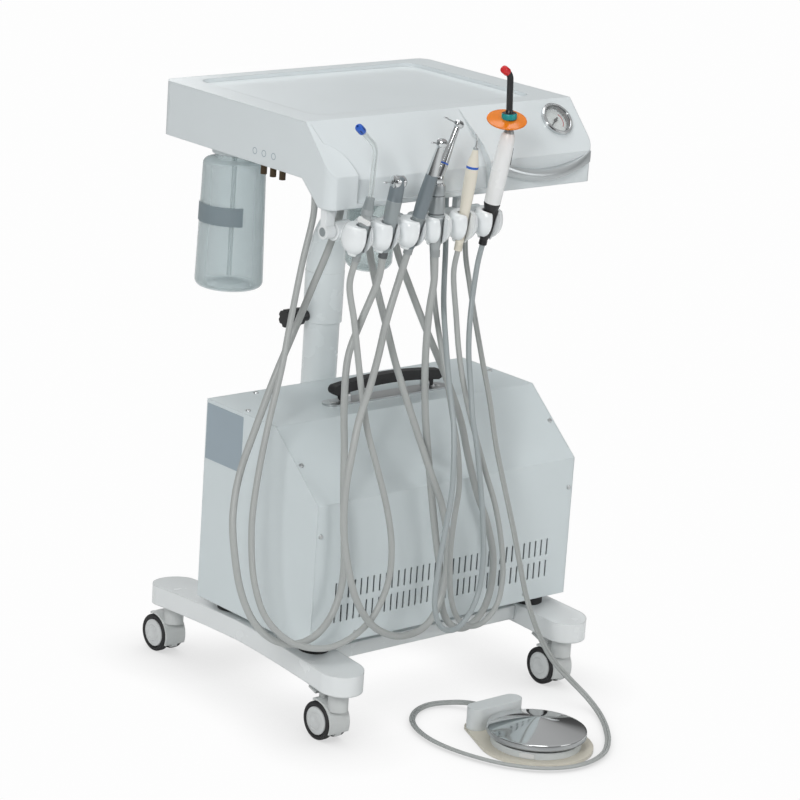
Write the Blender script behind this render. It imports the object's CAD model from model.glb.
"""Looks of the portable dental unit: camera, hoses, detailed pieces, finishes, floor and light."""

import math

import bpy
from mathutils import Matrix, Vector


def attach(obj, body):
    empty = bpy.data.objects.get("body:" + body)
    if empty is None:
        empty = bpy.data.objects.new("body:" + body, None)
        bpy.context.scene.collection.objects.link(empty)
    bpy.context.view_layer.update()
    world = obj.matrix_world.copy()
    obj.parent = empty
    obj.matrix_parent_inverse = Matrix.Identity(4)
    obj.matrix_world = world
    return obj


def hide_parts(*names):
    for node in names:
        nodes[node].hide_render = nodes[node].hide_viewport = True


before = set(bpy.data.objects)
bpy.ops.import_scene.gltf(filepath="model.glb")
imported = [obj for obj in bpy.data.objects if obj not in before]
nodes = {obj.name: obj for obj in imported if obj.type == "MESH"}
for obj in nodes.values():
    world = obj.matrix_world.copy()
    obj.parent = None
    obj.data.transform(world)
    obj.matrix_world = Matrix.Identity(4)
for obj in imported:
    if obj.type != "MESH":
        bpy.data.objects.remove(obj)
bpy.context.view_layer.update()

MM = 0.001
FRAME_Y = -65.5  # the cart's own Y axis is moved by this much in the shared frame


def at(x, y, z):
    """A place in the cart's own millimetres, as a point of the shared frame in metres."""
    return Vector((x, y + FRAME_Y, z)) * MM


def turn(axis, degrees):
    """A turn about X, Y or Z."""
    return Matrix.Rotation(math.radians(degrees), 4, axis)


# ---- camera ----
CAMERA_AZIMUTH = -41.3
CAMERA_ELEVATION = 15.9
CAMERA_ROLL = 3.93
CAMERA_DISTANCE = 3.968
CAMERA_LENS = 144.67
CAMERA_TARGET = at(-103.35, -9.68, 428.73)


def add_camera():
    """The photo's camera, which leans a little to one side."""
    azimuth = math.radians(CAMERA_AZIMUTH)
    elevation = math.radians(CAMERA_ELEVATION)
    roll = math.radians(CAMERA_ROLL)
    away = Vector((
        math.sin(azimuth) * math.cos(elevation),
        -math.cos(azimuth) * math.cos(elevation),
        math.sin(elevation),
    ))
    right = (-away).cross(Vector((0, 0, 1))).normalized()
    up = right.cross(-away)
    tilted_right = math.cos(roll) * right + math.sin(roll) * up
    tilted_up = math.cos(roll) * up - math.sin(roll) * right
    rotation = Matrix((tilted_right, tilted_up, away)).transposed().to_4x4()
    camera = bpy.data.objects.new("camera", bpy.data.cameras.new("camera"))
    camera.matrix_world = Matrix.Translation(CAMERA_TARGET + away * CAMERA_DISTANCE) @ rotation
    camera.data.lens = CAMERA_LENS
    camera.data.sensor_width = 36
    camera.data.clip_end = 50
    bpy.context.scene.collection.objects.link(camera)
    bpy.context.scene.camera = camera


# ---- finishes ----
finishes = {}


def new_material(name):
    """A new finish, given as its node tree and its shader."""
    material = bpy.data.materials.new(name)
    material.use_nodes = True
    finishes[name] = material
    return material.node_tree, material.node_tree.nodes["Principled BSDF"]


def noise(tree, scale, detail=3.0, stretch=None):
    """Uneven values over the piece, stretched along an axis for brushed metal."""
    coords = tree.nodes.new("ShaderNodeTexCoord")
    source = coords.outputs["Object"]
    if stretch:
        mapping = tree.nodes.new("ShaderNodeMapping")
        mapping.inputs["Scale"].default_value = stretch
        tree.links.new(source, mapping.inputs["Vector"])
        source = mapping.outputs["Vector"]
    texture = tree.nodes.new("ShaderNodeTexNoise")
    texture.inputs["Scale"].default_value = scale
    texture.inputs["Detail"].default_value = detail
    tree.links.new(source, texture.inputs["Vector"])
    return texture.outputs["Fac"]


NOISE_MIDDLE = (0.15, 0.85)  # nearly all values of a noise lie between these
COAT_ROUGH = 0.12


def scaled(tree, value, low, high):
    """Maps the useful middle of a noise to the range from low to high."""
    node = tree.nodes.new("ShaderNodeMapRange")
    node.interpolation_type = "SMOOTHSTEP"
    node.inputs["From Min"].default_value = NOISE_MIDDLE[0]
    node.inputs["From Max"].default_value = NOISE_MIDDLE[1]
    node.inputs["To Min"].default_value = low
    node.inputs["To Max"].default_value = high
    tree.links.new(value, node.inputs["Value"])
    return node.outputs["Result"]


def varied_colour(tree, colour, variation, factor):
    """A colour that goes a little darker and lighter with the factor."""
    mix = tree.nodes.new("ShaderNodeMix")
    mix.data_type = "RGBA"
    mix.inputs["A"].default_value = [c * (1 - variation) for c in colour] + [1]
    mix.inputs["B"].default_value = [min(1, c * (1 + variation)) for c in colour] + [1]
    tree.links.new(factor, mix.inputs["Factor"])
    return mix.outputs["Result"]


def relief_normal(tree, height, strength, depth, edge):
    """Fine relief over edges that are rounded by the given radius."""
    bevel = tree.nodes.new("ShaderNodeBevel")
    bevel.samples = 6
    bevel.inputs["Radius"].default_value = edge
    bump = tree.nodes.new("ShaderNodeBump")
    bump.inputs["Strength"].default_value = strength
    bump.inputs["Distance"].default_value = depth
    tree.links.new(height, bump.inputs["Height"])
    tree.links.new(bevel.outputs["Normal"], bump.inputs["Normal"])
    return bump.outputs["Normal"]


def finish(name, colour, rough, metal=0.0, grain=700, strength=0.15, depth=0.0002, edge=0.0006,
           spread=0.15, variation=0.03, coat=0.0, stretch=None):
    """A solid finish: grain in the relief, smudges in the roughness, slight uneven colour."""
    tree, shader = new_material(name)
    fine = noise(tree, grain, stretch=stretch)
    broad = noise(tree, 14, detail=5.0)
    tree.links.new(varied_colour(tree, colour, variation, broad), shader.inputs["Base Color"])
    tree.links.new(scaled(tree, broad, rough * (1 - spread), rough * (1 + spread)),
                   shader.inputs["Roughness"])
    tree.links.new(relief_normal(tree, fine, strength, depth, edge), shader.inputs["Normal"])
    shader.inputs["Metallic"].default_value = metal
    shader.inputs["Coat Weight"].default_value = coat
    shader.inputs["Coat Roughness"].default_value = COAT_ROUGH
    return shader


def clear_finish(name, colour, rough, rim, middle):
    """Thin clear plastic: seen through in the middle, denser and glossy toward its edges."""
    tree, shader = new_material(name)
    fine = noise(tree, 60, detail=4.0)
    tree.links.new(varied_colour(tree, colour, 0.04, fine), shader.inputs["Base Color"])
    tree.links.new(scaled(tree, fine, rough * 0.8, rough * 1.3), shader.inputs["Roughness"])
    tree.links.new(relief_normal(tree, fine, 0.12, 0.0006, 0.0006), shader.inputs["Normal"])
    see_through = tree.nodes.new("ShaderNodeBsdfTransparent")
    see_through.inputs["Color"].default_value = [0.5 + 0.5 * c for c in colour] + [1]
    facing = tree.nodes.new("ShaderNodeLayerWeight")
    facing.inputs["Blend"].default_value = 0.35
    density = tree.nodes.new("ShaderNodeMapRange")
    density.inputs["To Min"].default_value = middle
    density.inputs["To Max"].default_value = rim
    mix = tree.nodes.new("ShaderNodeMixShader")
    tree.links.new(facing.outputs["Facing"], density.inputs["Value"])
    tree.links.new(density.outputs["Result"], mix.inputs["Fac"])
    tree.links.new(see_through.outputs["BSDF"], mix.inputs[1])
    tree.links.new(shader.outputs["BSDF"], mix.inputs[2])
    tree.links.new(mix.outputs["Shader"], tree.nodes["Material Output"].inputs["Surface"])


def make_finishes():
    finish("shell", (0.70, 0.75, 0.765), 0.32, grain=420, strength=0.06, edge=0.0026, spread=0.06,
           variation=0.015, coat=0.15)
    finish("leg", (0.80, 0.83, 0.835), 0.26, grain=350, strength=0.10, edge=0.003, coat=0.3)
    finish("paint", (0.66, 0.725, 0.74), 0.40, grain=1100, strength=0.22, edge=0.0014)
    finish("cup", (0.82, 0.85, 0.86), 0.16, grain=300, strength=0.05, edge=0.0012, coat=0.5)
    finish("tube_white", (0.74, 0.79, 0.80), 0.27, grain=500, strength=0.08, edge=0.0008, coat=0.3)
    finish("satin", (0.60, 0.62, 0.625), 0.32, metal=1.0, grain=900, strength=0.16, edge=0.0005,
           stretch=(0.06, 1, 1))
    finish("cast", (0.45, 0.46, 0.47), 0.5, metal=0.9, grain=500, strength=0.4, edge=0.001)
    finish("tank_paint", (0.10, 0.14, 0.18), 0.4, grain=600, strength=0.25, edge=0.001)
    finish("chrome", (0.66, 0.68, 0.69), 0.12, metal=1.0, grain=200, strength=0.03, edge=0.0004)
    finish("polished", (0.70, 0.715, 0.72), 0.07, metal=1.0, grain=120, strength=0.04, edge=0.0006)
    finish("rim_steel", (0.50, 0.515, 0.52), 0.30, metal=1.0, grain=900, strength=0.2, edge=0.0006,
           stretch=(1, 1, 0.08))
    finish("dark_steel", (0.20, 0.21, 0.215), 0.25, metal=1.0, grain=900, strength=0.1, edge=0.0002)
    finish("rail", (0.50, 0.53, 0.54), 0.30, metal=0.6, grain=900, strength=0.06, edge=0.0004)
    finish("silver", (0.38, 0.41, 0.42), 0.36, metal=0.5, grain=900, strength=0.08, edge=0.0004)
    finish("slate", (0.20, 0.235, 0.255), 0.34, metal=0.35, grain=900, strength=0.1, edge=0.0004)
    finish("mid_grey", (0.31, 0.345, 0.355), 0.33, metal=0.35, grain=900, strength=0.1, edge=0.0004)
    finish("boot", (0.36, 0.385, 0.39), 0.55, grain=900, strength=0.25, edge=0.0004)
    finish("dark_boot", (0.12, 0.13, 0.135), 0.55, grain=900, strength=0.25, edge=0.0004)
    finish("black", (0.012, 0.012, 0.013), 0.36, grain=900, strength=0.12, edge=0.0006)
    finish("rubber", (0.018, 0.018, 0.019), 0.62, grain=1300, strength=0.35, edge=0.0012)
    finish("bronze", (0.10, 0.072, 0.045), 0.42, metal=0.8, grain=900, strength=0.25, edge=0.0003)
    finish("hose", (0.40, 0.418, 0.41), 0.42, grain=700, strength=0.14, edge=0.0003)
    finish("blue_hose", (0.35, 0.39, 0.40), 0.40, grain=700, strength=0.14, edge=0.0003)
    finish("castor", (0.60, 0.62, 0.615), 0.40, grain=700, strength=0.18, edge=0.0007)
    finish("hub", (0.66, 0.68, 0.68), 0.35, grain=700, strength=0.14, edge=0.0005)
    finish("cream", (0.66, 0.63, 0.54), 0.45, grain=700, strength=0.18, edge=0.001)
    finish("pale", (0.70, 0.735, 0.74), 0.36, grain=600, strength=0.15, edge=0.0015)
    finish("ivory", (0.76, 0.72, 0.62), 0.30, grain=600, strength=0.08, edge=0.0005, coat=0.2)
    finish("white_plastic", (0.82, 0.83, 0.83), 0.27, grain=500, strength=0.06, edge=0.0006)
    finish("plate", (0.33, 0.40, 0.45), 0.34, grain=900, strength=0.1, edge=0.0002, variation=0.05)
    finish("band", (0.21, 0.26, 0.285), 0.42, grain=500, strength=0.1, edge=0.0002)
    finish("dial", (0.85, 0.86, 0.85), 0.5, grain=900, strength=0.05, edge=0.0001)
    finish("teal", (0.01, 0.30, 0.30), 0.35, grain=800, strength=0.08, edge=0.0003)
    finish("blue", (0.02, 0.11, 0.52), 0.35, grain=800, strength=0.08, edge=0.0003)
    finish("red", (0.62, 0.02, 0.025), 0.33, grain=800, strength=0.08, edge=0.0005)
    shield = finish("orange", (1.0, 0.27, 0.0), 0.16, grain=300, strength=0.05, edge=0.0004)
    shield.inputs["Transmission Weight"].default_value = 0.3
    clear_finish("bottle", (0.72, 0.78, 0.79), 0.10, 0.75, 0.16)
    clear_finish("jar", (0.74, 0.80, 0.80), 0.12, 0.6, 0.12)
    clear_finish("clear_tube", (0.80, 0.84, 0.84), 0.10, 0.8, 0.25)
    clear_finish("lens", (0.9, 0.92, 0.92), 0.04, 0.3, 0.02)


def dress_below(node, name, height):
    """Gives another finish to the faces of a CAD node that reach below a height in metres."""
    piece = nodes[node]
    piece.data.materials.append(finishes[name])
    place = piece.matrix_world
    for face in piece.data.polygons:
        if min((place @ piece.data.vertices[k].co).z for k in face.vertices) < height:
            face.material_index = len(piece.data.materials) - 1


def dress(name, *node_names):
    """Gives CAD nodes a finish."""
    for node in node_names:
        data = nodes[node].data
        if not data.materials:
            data.materials.append(finishes[name])
        for slot in nodes[node].material_slots:
            slot.material = finishes[name]


# ---- shapes ----
SHARP_ANGLE = 32


class Shape:
    """Collects turned, swept and boxed forms into one piece with several finishes."""

    def __init__(self, name):
        self.name = name
        self.points = []
        self.faces = []
        self.marks = []
        self.keys = []

    def mark(self, key, face):
        """Adds a face with a finish."""
        if key not in self.keys:
            self.keys.append(key)
        self.faces.append(face)
        self.marks.append(self.keys.index(key))

    def lathe(self, profile, place=Matrix(), steps=64):
        """Turns (radius, height, finish) points, in mm, about Z.

        A finish holds up to the next point.
        """
        rows = []
        for radius, height, _ in profile:
            count = steps if radius > 1e-6 else 1
            rows.append([len(self.points) + k for k in range(count)])
            for k in range(count):
                angle = 2 * math.pi * k / count
                point = Vector((radius * math.cos(angle), radius * math.sin(angle), height)) * MM
                self.points.append(place @ point)
        for low, high, (_, _, key) in zip(rows, rows[1:], profile):
            for k in range(steps):
                ring = [low[k % len(low)], low[(k + 1) % len(low)],
                        high[(k + 1) % len(high)], high[k % len(high)]]
                face = [p for j, p in enumerate(ring) if p != ring[j - 1]]
                if len(face) > 2:
                    self.mark(key, face)

    def sweep(self, path, radius, key, sides=12, offset=0.0):
        """A round bar along points in metres. Offset moves it sideways, along the carried side."""
        side = Vector((1, 0.1, 0.2))
        rows = []
        for i, point in enumerate(path):
            along = (path[min(i + 1, len(path) - 1)] - path[max(i - 1, 0)]).normalized()
            side = (side - side.dot(along) * along).normalized()
            other = along.cross(side)
            rows.append([len(self.points) + k for k in range(sides)])
            for k in range(sides):
                angle = 2 * math.pi * k / sides
                self.points.append(point + side * (offset + radius * math.cos(angle))
                                   + other * radius * math.sin(angle))
        for low, high in zip(rows, rows[1:]):
            for k in range(sides):
                self.mark(key, [low[k], low[(k + 1) % sides], high[(k + 1) % sides], high[k]])
        self.mark(key, rows[0][::-1])
        self.mark(key, rows[-1])

    def block(self, low, high, key, place=Matrix()):
        """A box between two corners in mm."""
        first = len(self.points)
        for x in (low[0], high[0]):
            for y in (low[1], high[1]):
                for z in (low[2], high[2]):
                    self.points.append(place @ (Vector((x, y, z)) * MM))
        sides = ((0, 1, 3, 2), (4, 6, 7, 5), (0, 4, 5, 1),
                 (2, 3, 7, 6), (0, 2, 6, 4), (1, 5, 7, 3))
        for face in sides:
            self.mark(key, [first + k for k in face])

    def make(self, body, *replaced):
        """Builds the piece, lets it ride a body and take the place of CAD nodes."""
        mesh = bpy.data.meshes.new(self.name)
        mesh.from_pydata(self.points, [], self.faces)
        for key in self.keys:
            mesh.materials.append(finishes[key])
        mesh.polygons.foreach_set("material_index", self.marks)
        mesh.shade_smooth()
        mesh.set_sharp_from_angle(angle=math.radians(SHARP_ANGLE))
        piece = bpy.data.objects.new(self.name, mesh)
        bpy.context.scene.collection.objects.link(piece)
        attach(piece, body)
        if replaced:
            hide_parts(*replaced)
        return piece


def ribs(low, high, count, outer, inner, key):
    """Profile points of a ribbed sleeve, from low to high."""
    step = (high - low) / count
    points = []
    for k in range(count):
        z = low + k * step
        points += [(outer, z, key), (outer, z + step * 0.6, key),
                   (inner, z + step * 0.66, key), (inner, z + step * 0.94, key)]
    return points


def arc(centre, radius, start, end, count=6):
    """(radius, height) points of an arc in a turned profile."""
    steps = [math.radians(start + (end - start) * k / count) for k in range(count + 1)]
    return [(centre[0] + radius * math.cos(a), centre[1] + radius * math.sin(a)) for a in steps]


def smooth_path(points, steps=8):
    """A smooth curve through points, the same one that the solid hoses follow."""
    path = []
    for i in range(len(points) - 1):
        a = points[max(i - 1, 0)]
        b = points[i]
        c = points[i + 1]
        d = points[min(i + 2, len(points) - 1)]
        for k in range(steps):
            t = k / steps
            path.append(0.5 * (2 * b + (c - a) * t + (2 * a - 5 * b + 4 * c - d) * t * t
                               + (3 * b - a - 3 * c + d) * t ** 3))
    path.append(points[-1])
    return path


def bent_path(height, bend, angle, tail, count=12):
    """Points in mm of a bar that stands up, then bends to the left, then runs straight on."""
    points = [Vector((0, 0, 0)), Vector((0, 0, height * 0.5)), Vector((0, 0, height))]
    for k in range(1, count + 1):
        a = math.radians(angle * k / count)
        points.append(Vector((-bend + bend * math.cos(a), 0, height + bend * math.sin(a))))
    a = math.radians(angle)
    points.append(points[-1] + Vector((-math.sin(a), 0, math.cos(a))) * tail)
    return points


# ---- the instruments' places, as in the solid ----
HOLDER_X = -185  # the first cup, at the left
HOLDER_PITCH = 42
HOLDER_Y = -4
HOLDER_Z = 639
# one value for each instrument, from the left: degrees about X and Y, mm along X and Y, boot's end
LEAN = [(8, 5.5), (8, 3.2), (12, 6.5), (0, -2.5), (6, 2.1), (10, 2.5)]
SHIFT = [(3, -3.5), (2.5, -3.5), (3, -3.5), (-2.5, -3), (-2, -3), (-2.5, -3.5)]
BOOT = [27, 27, 27, 33, 30, 27]
LOW = -19   # where an instrument's cone starts, in its cup
HIGH = 19   # and ends
TURBINE_A_HEAD = 70
TURBINE_B_HEAD = 119
CONTRA_PIVOT = 67.5
CONTRA_BEND = 26
CONTRA_HEAD = 69


def seat(i):
    """The frame of an instrument that is drawn upright, with the middle of its cup at z = 0."""
    place = at(HOLDER_X + HOLDER_PITCH * i + SHIFT[i][0], HOLDER_Y + SHIFT[i][1], HOLDER_Z)
    return Matrix.Translation(place) @ turn("X", LEAN[i][0]) @ turn("Y", LEAN[i][1])


def local(x, y, z):
    """A move in mm, in the frame that it follows."""
    return Matrix.Translation(Vector((x, y, z)) * MM)


# ---- hoses ----
EXIT_RUN = 32  # a hose leaves a boot or a fitting straight for this long
FITTING_X = [-202, -160, -116, -78, -14, 12, 46]
FITTING_Y = 60
FITTING_Z = 687
AIR_TUBE_R = 0.0021
AIR_TUBE_OFFSET = 0.0019
PEDAL_PORT = (34, -79.5, 12)
PORT_RUN = 22
ROUTES = {
    "ejector": [(-186, -10, 540), (-186, -22, 495), (-184, -32, 450), (-178, -40, 405),
        (-162, -45, 355), (-146, -48, 305), (-136, -50, 255), (-138, -50, 208), (-160, -50, 166),
        (-194, -46, 142), (-232, -40, 136), (-270, -26, 148), (-295, -8, 178), (-305, 5, 220),
        (-305, 15, 265), (-300, 22, 310), (-286, 30, 365), (-270, 36, 420), (-252, 42, 475),
        (-236, 50, 530), (-218, 56, 600)],
    "turbine_a": [(-162, 4, 535), (-180, 4, 490), (-190, -6, 435), (-192, -14, 380), (-190, -16, 320),
        (-186, -18, 260), (-186, -20, 212), (-200, -22, 172), (-226, -24, 148), (-256, -20, 140),
        (-284, -10, 148), (-306, 2, 172), (-318, 14, 208), (-322, 25, 252), (-318, 38, 298),
        (-300, 52, 345), (-268, 66, 395), (-236, 76, 450), (-206, 80, 505), (-184, 76, 560),
        (-168, 68, 610)],
    "turbine_b": [(-125, 0, 532), (-152, -20, 495), (-180, -40, 462), (-205, -54, 430),
        (-220, -62, 390), (-230, -66, 345), (-230, -68, 295), (-218, -68, 242), (-198, -66, 196),
        (-164, -60, 158), (-120, -54, 136), (-76, -47, 134), (-46, -41, 152), (-30, -36, 192),
        (-30, -35, 240), (-44, -35, 290), (-64, -32, 335), (-80, -24, 380), (-90, -8, 425),
        (-96, 12, 470), (-98, 30, 510), (-104, 48, 560), (-112, 58, 610)],
    "motor": [(-66, -10, 535), (-70, -14, 475), (-66, -16, 410), (-58, -18, 355), (-48, -20, 295),
        (-36, -22, 232), (-28, -26, 188), (-24, -26, 152), (-7, -24, 123), (22, -21, 110),
        (52, -18, 122), (70, -14, 152), (73, -11, 196), (58, -10, 245), (38, -10, 285), (20, -8, 335),
        (6, -4, 385), (-6, 6, 425), (-20, 18, 465), (-34, 32, 505), (-50, 46, 552), (-68, 56, 602)],
    "scaler": [(-16, -5, 525), (-20, -20, 480), (-20, -36, 435), (-10, -48, 385), (12, -50, 330),
        (34, -50, 280), (50, -50, 225), (54, -52, 182), (43, -56, 147), (12, -60, 129),
        (-21, -62, 138), (-43, -64, 175), (-50, -64, 235), (-46, -62, 280), (-40, -60, 320),
        (-40, -54, 362), (-40, -40, 402), (-38, -22, 445), (-34, 0, 490), (-28, 24, 540),
        (-18, 46, 600)],
    "light": [(8, -5, 525), (-6, -22, 482), (-18, -44, 442), (-24, -58, 408), (-20, -66, 370),
        (-12, -69, 320), (-4, -70, 270), (1, -70, 222), (-4, -72, 182), (-22, -77, 155),
        (-50, -84, 142), (-80, -90, 152), (-97, -94, 184), (-98, -96, 228), (-90, -95, 280),
        (-80, -91, 325), (-74, -84, 365), (-66, -70, 408), (-56, -46, 450), (-38, -14, 495),
        (-18, 18, 540), (4, 46, 600)],
    "pedal": [(45, 54, 590), (44, 40, 548), (42, 22, 505), (40, 2, 460), (40, -18, 410),
        (42, -34, 355), (50, -48, 300), (60, -58, 250), (70, -64, 205), (82, -68, 160), (97, -71, 122),
        (115, -73, 88), (136, -77, 58), (157, -87, 34), (168, -107, 16), (164, -132, 7),
        (150, -158, 5), (130, -186, 5), (105, -215, 5), (75, -240, 5), (42, -253, 5), (8, -254, 5),
        (-22, -243, 5), (-46, -223, 5), (-66, -194, 5), (-82, -150, 5), (-88, -105, 5), (-82, -65, 5),
        (-66, -33, 5), (-40, -11, 5), (-12, -3, 5), (12, -11, 6), (28, -30, 9)],
}
INSTRUMENT_HOSES = [("ejector", 0.008), ("turbine_a", 0.009), ("turbine_b", 0.009), ("motor", 0.009),
                    ("scaler", 0.007), ("light", 0.007)]


def instrument_path(i, name):
    """From the end of an instrument's boot, by its route, up to its fitting."""
    boot_end = seat(i) @ (Vector((0, 0, -BOOT[i])) * MM)
    below = seat(i) @ (Vector((0, 0, -BOOT[i] - EXIT_RUN)) * MM)
    x = FITTING_X[i]
    points = [boot_end, below] + [at(*p) for p in ROUTES[name]]
    points += [at(x, FITTING_Y, FITTING_Z - EXIT_RUN), at(x, FITTING_Y, FITTING_Z)]
    return smooth_path(points)


def add_instrument_hoses():
    for i, (name, diameter) in enumerate(INSTRUMENT_HOSES):
        path = instrument_path(i, name)
        curve = bpy.data.curves.new("hose_" + name, "CURVE")
        curve.dimensions = "3D"
        curve.bevel_depth = diameter / 2
        curve.bevel_resolution = 7
        curve.use_fill_caps = True
        spline = curve.splines.new("POLY")
        spline.points.add(len(path) - 1)
        for point, place in zip(spline.points, path):
            point.co = (*place, 1)
        curve.materials.append(finishes["blue_hose" if name == "light" else "hose"])
        hose = bpy.data.objects.new("seen_hose_" + name, curve)
        bpy.context.scene.collection.objects.link(hose)
        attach(hose, "head")
        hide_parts("hose_" + name)


def add_pedal_hose():
    """The pedal's air hose is a pair of thin tubes side by side."""
    x = FITTING_X[-1]
    port = PEDAL_PORT
    points = [at(x, FITTING_Y, FITTING_Z), at(x, FITTING_Y, FITTING_Z - EXIT_RUN)]
    points += [at(*p) for p in ROUTES["pedal"]]
    points += [at(port[0], port[1] + PORT_RUN, port[2]), at(*port)]
    path = smooth_path(points)
    shape = Shape("seen_hose_pedal")
    for side in (-1, 1):
        shape.sweep(path, AIR_TUBE_R, "hose", sides=14, offset=side * AIR_TUBE_OFFSET)
    hose = shape.make("base", "hose_pedal")


# ---- instruments ----
def ejector():
    """The valve body with its clear suction tube, a wire inside it and the slotted tip."""
    place = seat(0)
    body = Shape("seen_ejector_valve")
    body.lathe([(0, -27, "boot")] + ribs(-27, -20, 4, 5.2, 4.6, "boot") + [
        (5.5, LOW, "mid_grey"), (7.2, HIGH, "silver"), (7.6, 20, "silver"), (7.6, 20.8, "boot"),
        (6.5, 21.2, "boot"), (6.5, 32, "silver"), (7.5, 33, "silver"), (7.5, 39, "silver"),
        (7.0, 39.6, "mid_grey"), (6.9, 41, "mid_grey"), (5.4, 51, "mid_grey"),
        (5.4, 54, "mid_grey"), (3.4, 54.2, "mid_grey"), (0, 54.2, "mid_grey")], place)
    tube = place @ local(0, 0, 53) @ turn("Y", -9)
    points = bent_path(56, 22, 46, 25)
    path = [tube @ (p * MM) for p in points]
    body.sweep(path, 0.0032, "clear_tube", sides=24)
    wire = tube.to_3x3() @ Vector((0.0017, 0, 0))
    body.sweep([p + wire for p in path], 0.0004, "mid_grey", sides=8)
    tip = tube @ Matrix.Translation(points[-1] * MM) @ turn("Y", -46)
    body.lathe([(0, -2, "blue"), (4.4, -2, "blue"), (5, -1, "blue"), (5, 6, "blue"),
                (4.7, 8.5, "blue"), (3.4, 10.2, "blue"), (1.6, 10.6, "blue"), (1.6, 8, "black"),
                (0, 8, "black")], tip, 48)
    for k in range(6):
        slot = tip @ turn("Z", 60 * k)
        body.block((4.6, -0.5, 1), (5.06, 0.5, 6.5), "black", slot)
    body.make("ejector_valve", "ejector_valve")


def bur_bands(length):
    """The profile of a bur: its shank, its neck and its cutting end."""
    return [(0.8, -9, "silver"), (0.8, length - 8, "silver"), (1.1, length - 6, "chrome"),
            (0.9, length - 1, "chrome"), (0, length, "chrome")]


def turbine_head(shape, place, radius, half):
    """A round head whose axis lies along X: push button to the right, chuck to the left."""
    axis = place @ turn("Y", 90)
    shape.lathe([(0, -half, "dark_boot"), (2.2, -half, "chrome"), (2.6, -half - 0.4, "chrome"),
                 (radius * 0.72, -half + 0.3, "chrome"), (radius, -half + 2, "chrome"),
                 (radius, half - 3, "dark_boot"), (radius - 0.25, half - 2.8, "dark_boot"),
                 (radius - 0.25, half - 2.3, "chrome"), (radius * 0.96, half - 2.1, "chrome"),
                 (radius * 0.8, half - 0.4, "chrome"), (radius * 0.5, half, "chrome"),
                 (0, half + 0.2, "chrome")], axis, 64)


def turbine_a():
    """A high-speed handpiece whose grey sleeve runs up to its head."""
    place = seat(1)
    shape = Shape("seen_turbine_a")
    shape.lathe([(0, -27, "dark_boot")] + ribs(-27, -19, 4, 5.6, 5.0, "dark_boot") + [
        (5.8, LOW, "mid_grey"), (8.2, 14, "mid_grey"), (8.6, 18, "mid_grey"), (9.2, 31, "mid_grey"),
        (9.4, 46, "silver"), (9.4, 46.8, "slate"), (9.3, 47, "slate"), (9.0, 60, "slate"),
        (8.6, 70, "slate"), (7.2, 75.5, "slate"), (5, 77.5, "slate"), (0, 78, "slate")], place)
    turbine_head(shape, place @ local(0, 0, TURBINE_A_HEAD), 8.2, 9)
    shape.make("turbine_a", "turbine_a")
    bur = Shape("seen_bur_a")
    bur.lathe(bur_bands(24), place @ local(0, 0, TURBINE_A_HEAD) @ turn("Y", -90), 16)
    bur.make("bur_a", "bur_a")


def turbine_b():
    """A high-speed handpiece with a slim chrome neck."""
    place = seat(2)
    shape = Shape("seen_turbine_b")
    profile = [(0, -27, "boot")] + ribs(-27, -20, 4, 5.6, 5.0, "boot")
    profile += [(5.8, LOW, "slate"), (7.3, 12, "slate")]
    profile += ribs(14, 22, 4, 7.8, 7.3, "mid_grey")
    profile += [(7.9, 22.5, "slate"), (8.6, 34, "slate"), (8.8, 49, "slate"), (8.2, 64, "slate"),
                (7.4, 78, "chrome"), (7.2, 79, "chrome"), (5.6, 99, "chrome"),
                (4.4, 114, "chrome"), (4.2, 118, "chrome"), (0, TURBINE_B_HEAD, "chrome")]
    shape.lathe(profile, place)
    turbine_head(shape, place @ local(0, 0, TURBINE_B_HEAD), 5.6, 6)
    shape.make("turbine_b", "turbine_b")
    bur = Shape("seen_bur_b")
    bur.lathe(bur_bands(18), place @ local(0, 0, TURBINE_B_HEAD) @ turn("Y", -90), 16)
    bur.make("bur_b", "bur_b")


def motor_and_contra():
    """The air motor, and the contra-angle that bends away from it."""
    place = seat(3)
    shape = Shape("seen_air_motor")
    profile = [(0, -33, "boot")] + ribs(-33, -24, 5, 6.0, 5.4, "boot")
    profile += [(6.2, LOW, "boot"), (6.6, -10, "boot"), (8.0, 12, "silver"), (8.8, 14, "silver"),
                (9.4, 16, "chrome"), (9.8, 17.5, "silver"), (9.8, 21, "dark_boot"),
                (9.5, 21.4, "dark_boot"), (9.5, 22.4, "silver"), (10, 23, "silver"),
                (10, 44, "dark_boot"), (9.8, 44.4, "dark_boot"), (9.8, 45.2, "silver"),
                (10, 45.6, "silver"), (10, 56, "silver"), (9.3, 57.4, "chrome"), (8, 60, "chrome"),
                (0, 60, "chrome")]
    shape.lathe(profile, place)
    shape.make("air_motor", "air_motor")
    arm = place @ local(0, 0, CONTRA_PIVOT) @ turn("Y", CONTRA_BEND)
    contra = Shape("seen_contra_angle")
    contra.lathe([(0, 60.3, "chrome"), (7, 60.3, "chrome"), (7.2, 61.2, "chrome"),
                  (7.4, 68, "chrome"), (6.9, 69, "chrome"), (0, 69, "chrome")], place)
    contra.lathe([(r, z, "chrome") for r, z in arc((0, 0), 6.8, -90, 10, 8)] + [
        (6.8, 14, "chrome"), (6.6, 17, "blue"), (6.5, 19, "chrome"), (5, 38, "chrome"),
        (4.2, 46, "chrome"), (3.6, 67, "chrome"), (0, 68, "chrome")], arm)
    head = arm @ local(0.75, 0, CONTRA_HEAD)
    turbine_head(contra, head, 4.8, 5.75)
    contra.make("contra_angle", "contra_angle")
    bur = Shape("seen_bur_c")
    bur.lathe(bur_bands(27), arm @ local(0, 0, CONTRA_HEAD) @ turn("Y", -90), 16)
    bur.make("bur_c", "bur_c")


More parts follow.
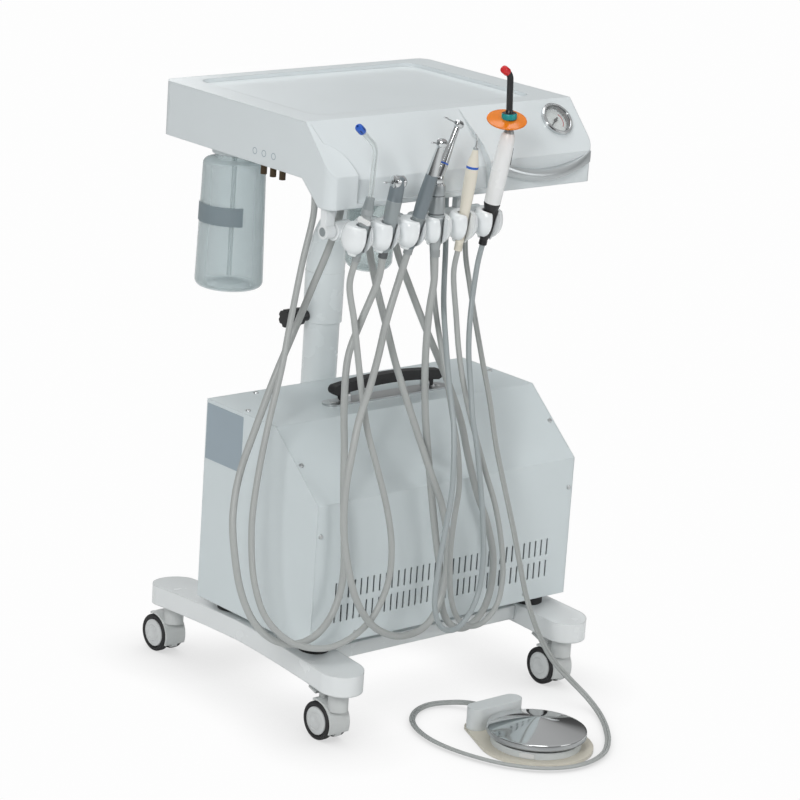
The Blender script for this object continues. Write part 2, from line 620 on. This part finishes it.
def scaler():
    """The ivory scaler with its curved steel tip."""
    place = seat(4)
    shape = Shape("seen_scaler")
    profile = [(0, -30, "ivory")] + ribs(-30, -20, 5, 5.2, 4.6, "ivory")
    profile += [(5.4, LOW, "ivory"), (6.3, HIGH, "ivory"), (7.5, 39, "ivory"), (8, 60, "ivory"),
                (7.9, 70, "ivory"), (7.7, 76, "blue"), (7.6, 79, "ivory"), (6.6, 84, "ivory"),
                (4.4, 94, "ivory"), (3.4, 100, "silver"), (3.0, 102, "silver"), (1.8, 102.2, "chrome"),
                (0.9, 111, "chrome"), (0.7, 111, "chrome"), (0, 111, "chrome")]
    shape.lathe(profile, place)
    path = [place @ ((p + Vector((0, 0, 110.8))) * MM) for p in bent_path(0.01, 12, 44, 1)]
    shape.sweep(path, 0.0007, "chrome", sides=12)
    shape.make("scaler", "scaler")


def curing_light():
    """The white light with its bent black guide, red cap and orange shield."""
    place = seat(5)
    shape = Shape("seen_curing_light")
    profile = [(0, -27, "black")] + ribs(-27, -21, 3, 5.2, 4.7, "black")
    profile += [(5.6, LOW, "black"), (8.4, HIGH, "black"), (10.2, 26, "black"), (10.5, 27.4, "black"),
                (10.1, 28, "black"), (10.1, 28.6, "white_plastic"), (10.35, 29, "white_plastic"),
                (10.6, 69, "white_plastic"), (10.2, 92, "white_plastic"), (9.4, 112, "white_plastic"),
                (8.6, 117, "white_plastic"), (6.6, 121, "mid_grey"), (6.2, 122, "mid_grey"),
                (5.2, 124.6, "mid_grey"), (0, 126, "mid_grey")]
    shape.lathe(profile, place)
    # the long switch on the side that faces right
    side = place @ turn("Z", -42) @ local(9.7, 0, 92) @ turn("Y", -3)
    shape.block((-0.6, -1.1, -11), (0.9, 1.1, 11), "black", side)
    shape.make("curing_light", "curing_light")
    guide = place @ local(0, 0, 120) @ turn("X", -9) @ turn("Y", -7)
    tip = Shape("seen_light_guide")
    points = bent_path(61, 12, 52, 2)
    tip.sweep([guide @ ((p + Vector((0, 0, 7))) * MM) for p in points], 0.004, "black", sides=32)
    cap = guide @ local(0, 0, 7) @ Matrix.Translation(points[-1] * MM) @ turn("Y", -52)
    tip.lathe([(0, -2, "red"), (4.6, -2, "red"), (5.1, -1.2, "red"), (5.1, 6, "red"),
               (4.6, 7.4, "red"), (3.4, 8, "red"), (0, 8, "red")], cap, 48)
    tip.lathe([(0, 6.6, "white_plastic"), (6, 6.8, "white_plastic"), (6.3, 9, "white_plastic"),
               (8.6, 15, "black"), (9.1, 18.6, "teal"), (9.5, 19, "teal"), (9.5, 25, "teal"),
               (9.0, 26, "black"), (5.2, 26.4, "black"), (4.6, 29, "black"), (4, 30, "black"),
               (0, 30, "black")], guide)
    shield = guide @ local(-4, 0, 17) @ turn("X", 14) @ turn("Y", -6)
    tip.lathe([(0, 0.4, "orange"), (16, 0.2, "orange"), (23.6, 0, "orange"), (24.6, 0.3, "orange"),
               (25, 1.1, "orange"), (24.6, 2.0, "orange"), (23.6, 2.4, "orange"), (0, 2.6, "orange")],
              shield, 96)
    for angle in (200, 250):
        tab = shield @ turn("Z", angle) @ local(11, 0, 0)
        tip.block((-1.5, -3, -5), (1.5, 3, 0.2), "white_plastic", tab)
    tip.make("light_guide", "light_guide")


# ---- castors ----
WHEEL_R = 25
CASTOR_TRAIL = 22      # from a castor's stem back to its axle
CASTOR_HALF_GAP = 5.5  # from the middle to a wheel's inner face
CASTORS = {"fl": (-190, -31), "fr": (190, -31), "rl": (-180, 327), "rr": (180, 327)}


def castor(name, x, y):
    """Twin wheels: black tyres with pale hub caps that carry a raised ring."""
    shape = Shape("seen_castor_" + name)
    axle_at = Matrix.Translation(at(x, y + CASTOR_TRAIL, WHEEL_R))
    for side in (-1, 1):
        place = axle_at @ turn("Y", 90 * side) @ local(0, 0, CASTOR_HALF_GAP)
        tyre = [(0, 0, "hub"), (16, 0, "hub"), (17, 0.3, "rubber"), (22, 0, "rubber")]
        tyre += [(r, z, "rubber") for r, z in arc((22, 3), 3, -70, 0, 4)]
        tyre += [(r, z, "rubber") for r, z in arc((22, 8.5), 3, 0, 90, 5)]
        tyre += [(20.6, 11.5, "rubber"), (19.6, 10.2, "black"), (18.6, 9.7, "black"),
                 (18.2, 9.8, "hub"), (17.9, 10.9, "hub"), (16.8, 11.5, "hub"), (11.2, 11.7, "hub"),
                 (10.9, 11.2, "hub"), (10.2, 11.2, "hub"), (9.9, 11.7, "hub"), (4.2, 11.8, "hub"),
                 (3.6, 11.5, "hub"), (0, 11.5, "hub")]
        shape.lathe(tyre, place, 96)
    axle = axle_at @ turn("Y", 90)
    shape.lathe([(0, -6, "satin"), (3, -6, "satin"), (3, 6, "satin"), (0, 6, "satin")], axle, 32)
    shape.make("castor_" + name + "_wheels", "castor_" + name + "_wheels")


# ---- gauge ----
GAUGE_AT = (176.5, 45.09, 749.14)  # on the sloping front
GAUGE_TILT = 47.53
SCALE_START = 225
SCALE_SWEEP = 270
SCALE_STEPS = 20
RED_START = 40
RED_SWEEP = 85
RED_STEPS = 21


def gauge():
    """White dial with scale marks and a red arc, under a clear lens, in the chrome case."""
    place = Matrix.Translation(at(*GAUGE_AT)) @ turn("X", GAUGE_TILT)
    dial = Shape("gauge_dial")
    dial.lathe([(0, -2.9, "dial"), (19.3, -2.9, "dial"), (19.3, -2.7, "dial"), (0, -2.7, "dial")],
               place)
    for k in range(SCALE_STEPS + 1):
        angle = SCALE_START - SCALE_SWEEP * k / SCALE_STEPS
        inner = 14.6 if k % 5 == 0 else 16.2
        dial.block((inner, -0.22, -2.7), (18, 0.22, -2.62), "black", place @ turn("Z", angle))
    for k in range(RED_STEPS + 1):
        angle = RED_START - RED_SWEEP * k / RED_STEPS
        dial.block((12.2, -0.55, -2.7), (13.6, 0.55, -2.63), "red", place @ turn("Z", angle))
    dial.make("head")
    bezel = Shape("gauge_bezel")
    bezel.lathe([(19.5, 4.6, "chrome"), (19.0, 4.2, "dark_steel"), (18.2, -2.4, "dark_steel"),
                 (17.6, -2.7, "dark_steel")], place, 96)
    bezel.make("head")
    lens = Shape("gauge_lens")
    lens.lathe([(0, 3.2, "lens"), (19.4, 2.6, "lens"), (19.4, 3.2, "lens"), (0, 3.8, "lens")], place)
    lens.make("head")


def grip():
    """The silver rail under the gauge: bows out of the front face and tapers away at both ends."""
    reach = 81      # half the rail's length
    bow = 14        # how far its middle stands out
    smile = 210     # radius of its curve, seen from the front
    half_h = 7.5
    centre_x = 129.5
    face_y = 12
    apron_z = 673
    lift = 9        # from the apron's edge up to the rail
    fullness = 0.62
    stations = 48
    steps = 16
    shape = Shape("seen_grip_strip")
    rows = []
    for k in range(stations + 1):
        x = reach * (2 * k / stations - 1)
        depth = bow * (1 - (x / (reach + 1)) ** 2) - 0.1
        middle = apron_z + lift + smile - math.sqrt(smile ** 2 - x ** 2) + half_h
        rows.append([len(shape.points) + m for m in range(steps + 1)])
        for m in range(steps + 1):
            a = math.radians(-90 + 180 * m / steps)
            out = depth * math.cos(a) ** fullness if abs(math.cos(a)) > 1e-9 else 0
            shape.points.append(at(centre_x + x, face_y - out, middle + half_h * math.sin(a)))
    for low, high in zip(rows, rows[1:]):
        for m in range(steps):
            shape.mark("rail", [low[m], high[m], high[m + 1], low[m + 1]])
        shape.mark("rail", [low[0], low[steps], high[steps], high[0]])
    shape.mark("rail", rows[0])
    shape.mark("rail", rows[-1][::-1])
    shape.make("head", "grip_strip")


# ---- labels and small marks ----
TRAY_SIDE_X = -217.5
KNOB_Y = (161, 143, 124)
KNOB_RING_Z = 718
SIDE_PLATE = ((-216.5, 156, 305), (-216, 230, 378))  # two corners, on the cabinet's left side
BOTTLE_AT = (-175, 254)
BAND_RIMS = ((607, 42.75), (631, 42.35))  # height and radius
BAND_START = 136
BAND_STEP = 5
BAND_STEPS = 23
JAR_AT = (-67, 110)
BAR_END = (-212.5, 28, 644)


def small_marks():
    """Rings for the knobs, the blank side plate, the bottle's band, the jar's marks, a bar end."""
    marks = Shape("knob_marks")
    for y in KNOB_Y:
        ring = Matrix.Translation(at(TRAY_SIDE_X, y, KNOB_RING_Z)) @ turn("Y", -90)
        marks.lathe([(3.4, -0.1, "plate"), (4.3, -0.1, "plate"), (4.3, 0.12, "plate"),
                     (3.4, 0.12, "plate"), (3.4, -0.1, "plate")], ring, 40)
    marks.make("head")
    plate = Shape("side_plate")
    plate.block(*[(x, y + FRAME_Y, z) for x, y, z in SIDE_PLATE], "plate")
    plate.make("base")
    band = Shape("bottle_band")
    for k in range(BAND_STEPS):
        low = math.radians(BAND_START + BAND_STEP * k)
        high = math.radians(BAND_START + BAND_STEP * (k + 1))
        first = len(band.points)
        for z, r in BAND_RIMS:
            for a in (low, high):
                x = BOTTLE_AT[0] + r * math.cos(a)
                y = BOTTLE_AT[1] + r * math.sin(a)
                band.points.append(at(x, y, z))
        band.mark("band", [first, first + 1, first + 3, first + 2])
    band.make("water_bottle")
    scale = Shape("jar_scale")
    for k in range(6):
        mark = Matrix.Translation(at(*JAR_AT, 625 + 9 * k)) @ turn("Z", 232)
        width = 5 if k % 2 else 9
        scale.block((30.9, -width, -0.5), (31.1, 0, 0.5), "teal", mark)
    scale.make("waste_jar")
    end_cap = Shape("bar_end")
    end = Matrix.Translation(at(*BAR_END)) @ turn("Y", -90)
    end_cap.lathe([(0, 0.1, "mid_grey"), (5.2, 0.1, "mid_grey"), (5.6, 0.5, "mid_grey"),
                   (5.2, 0.9, "mid_grey"), (0, 0.9, "mid_grey")], end, 48)
    end_cap.make("head")


PEDAL_AT = (22, -170)
PEDAL_RIM_Z = 17.5
PEDAL_RIM_H = 7.5
PEDAL_PLATE_TURN = 216


def pedal():
    """Polished pressed disc with a satin rim, and a blank plate on the base's rim."""
    place = Matrix.Translation(at(*PEDAL_AT, 0))
    rim = PEDAL_RIM_Z
    top = rim + PEDAL_RIM_H
    disc = Shape("seen_pedal_disc")
    disc.lathe([(0, 9.5, "rim_steel"), (12, 9.5, "rim_steel"), (12, top + 8, "rim_steel"),
                (61, top - 2.5, "rim_steel"), (61, rim, "rim_steel"), (62.9, rim, "rim_steel"),
                (63.5, rim + 0.6, "rim_steel"), (63.5, top - 1.2, "polished"),
                (63.1, top - 0.4, "polished"), (62.4, top, "polished"), (60, top + 0.5, "polished"),
                (9, top + 12.6, "polished"), (7, top + 13, "polished"), (4, top + 13.4, "polished"),
                (0, top + 13.6, "polished")], place, 160)
    disc.make("pedal_disc", "pedal_disc")
    plate = Shape("pedal_plate")
    plate.block((57, -9.5, 5.5), (58.2, 9.5, 11.5), "white_plastic",
                place @ turn("Z", PEDAL_PLATE_TURN))
    plate.make("base")


# ---- floor and light ----
FLOOR_HALF = 12
SEEN_WHITE = 0.985
STUDIO_LOW = 0.34
STUDIO_HIGH = 0.97
STUDIO_STEPS = ((0.06, 0.10), (0.22, 0.16), (0.42, 0.62))  # share of the height, grey
STUDIO_STRENGTH = 0.6
LIGHTS = {  # place in metres, size, watts
    "key": ((-2.7, -1.8, 2.1), 0.9, 50),
    "fill": ((1.5, -2.9, 1.6), 1.6, 20),
    "top": ((0.2, 0.4, 3.0), 1.8, 22),
    "back": ((0.8, 2.4, 1.9), 1.2, 14),
}


def add_floor():
    """A pale floor that the camera sees as white, darker where something stands on it."""
    tree, shader = new_material("floor")
    shader.inputs["Base Color"].default_value = (0.86, 0.87, 0.87, 1)
    shader.inputs["Roughness"].default_value = 0.8
    contact = tree.nodes.new("ShaderNodeAmbientOcclusion")
    contact.samples = 12
    contact.inputs["Distance"].default_value = 0.11
    shade = tree.nodes.new("ShaderNodeMapRange")
    shade.inputs["From Min"].default_value = 0.15
    shade.inputs["To Min"].default_value = 0.62
    shade.inputs["To Max"].default_value = SEEN_WHITE
    seen = tree.nodes.new("ShaderNodeEmission")
    rays = tree.nodes.new("ShaderNodeLightPath")
    mix = tree.nodes.new("ShaderNodeMixShader")
    tree.links.new(contact.outputs["AO"], shade.inputs["Value"])
    tree.links.new(shade.outputs["Result"], seen.inputs["Color"])
    tree.links.new(rays.outputs["Is Camera Ray"], mix.inputs["Fac"])
    tree.links.new(shader.outputs["BSDF"], mix.inputs[1])
    tree.links.new(seen.outputs["Emission"], mix.inputs[2])
    tree.links.new(mix.outputs["Shader"], tree.nodes["Material Output"].inputs["Surface"])
    size = FLOOR_HALF
    mesh = bpy.data.meshes.new("floor")
    mesh.from_pydata([(-size, -size, 0), (size, -size, 0), (size, size, 0), (-size, size, 0)],
                     [], [(0, 1, 2, 3)])
    mesh.materials.append(finishes["floor"])
    floor = bpy.data.objects.new("floor", mesh)
    bpy.context.scene.collection.objects.link(floor)


def add_world():
    """A studio that is darker near the horizon, for contrast in the steel; white to the camera."""
    world = bpy.data.worlds.new("studio")
    world.use_nodes = True
    bpy.context.scene.world = world
    tree = world.node_tree
    studio = tree.nodes["Background"]
    coords = tree.nodes.new("ShaderNodeTexCoord")
    split = tree.nodes.new("ShaderNodeSeparateXYZ")
    fade = tree.nodes.new("ShaderNodeValToRGB")
    ramp = fade.color_ramp.elements
    ramp[0].color = (STUDIO_LOW, STUDIO_LOW, STUDIO_LOW, 1)
    ramp[1].color = (STUDIO_HIGH, STUDIO_HIGH, STUDIO_HIGH, 1)
    for place, grey in STUDIO_STEPS:
        ramp.new(place).color = (grey, grey, grey, 1)
    tree.links.new(coords.outputs["Generated"], split.inputs["Vector"])
    tree.links.new(split.outputs["Z"], fade.inputs["Fac"])
    tree.links.new(fade.outputs["Color"], studio.inputs["Color"])
    studio.inputs["Strength"].default_value = STUDIO_STRENGTH
    seen = tree.nodes.new("ShaderNodeBackground")
    seen.inputs["Color"].default_value = (SEEN_WHITE, SEEN_WHITE, SEEN_WHITE, 1)
    rays = tree.nodes.new("ShaderNodeLightPath")
    mix = tree.nodes.new("ShaderNodeMixShader")
    tree.links.new(rays.outputs["Is Camera Ray"], mix.inputs["Fac"])
    tree.links.new(studio.outputs["Background"], mix.inputs[1])
    tree.links.new(seen.outputs["Background"], mix.inputs[2])
    tree.links.new(mix.outputs["Shader"], tree.nodes["World Output"].inputs["Surface"])


def add_light(name, place, size, power, target=(0, 0, 0.4)):
    """A soft light in metres and watts."""
    data = bpy.data.lights.new(name, "AREA")
    data.size = size
    data.energy = power
    light = bpy.data.objects.new(name, data)
    light.location = place
    light.rotation_euler = (Vector(target) - Vector(place)).to_track_quat("-Z", "Y").to_euler()
    bpy.context.scene.collection.objects.link(light)


PICKUP_TOP = 0.66  # the valve block's faces that reach below this are the bottle's pickup tube


def main():
    """Camera, finishes, hoses, the dressed nodes, the detailed pieces, floor and light."""
    add_camera()
    make_finishes()
    add_instrument_hoses()
    add_pedal_hose()

    dress("shell", "tray_shell", "tray_bottom")
    dress("leg", "legs", "base_rails")
    dress("paint", "cabinet_cover", "cabinet_tub")
    dress("tube_white", "mast_tube", "mast_sleeve")
    dress("cup", "holders", "holder_bar")
    dress("satin", "cabinet_screws", "handle_plate", "grip_strip", "valve_block")
    dress_below("valve_block", "clear_tube", PICKUP_TOP)
    dress("chrome", "gauge_case")
    dress("cast", "compressor")
    dress("tank_paint", "air_tank")
    dress("rubber", "cabinet_feet", "handle_grip")
    dress("black", "clamp_knob", "power_inlet", "gauge_needle")
    dress("red", "power_switch")
    dress("bronze", "flow_knob_a", "flow_knob_b", "flow_knob_c")
    dress("bottle", "water_bottle")
    dress("jar", "waste_jar")
    dress("white_plastic", "ejector_lever")
    dress("castor", "castor_fl_hood", "castor_fr_hood", "castor_rl_hood", "castor_rr_hood")
    dress("castor", "brake_fl", "brake_fr")
    dress("cream", "pedal_base")
    dress("pale", "pedal_housing")

    ejector()
    turbine_a()
    turbine_b()
    motor_and_contra()
    scaler()
    curing_light()
    for name, (x, y) in CASTORS.items():
        castor(name, x, y)
    gauge()
    grip()
    small_marks()
    pedal()

    add_floor()
    add_world()
    for name, (place, size, power) in LIGHTS.items():
        add_light(name, place, size, power)
    bpy.context.scene.view_settings.view_transform = "Standard"


main()
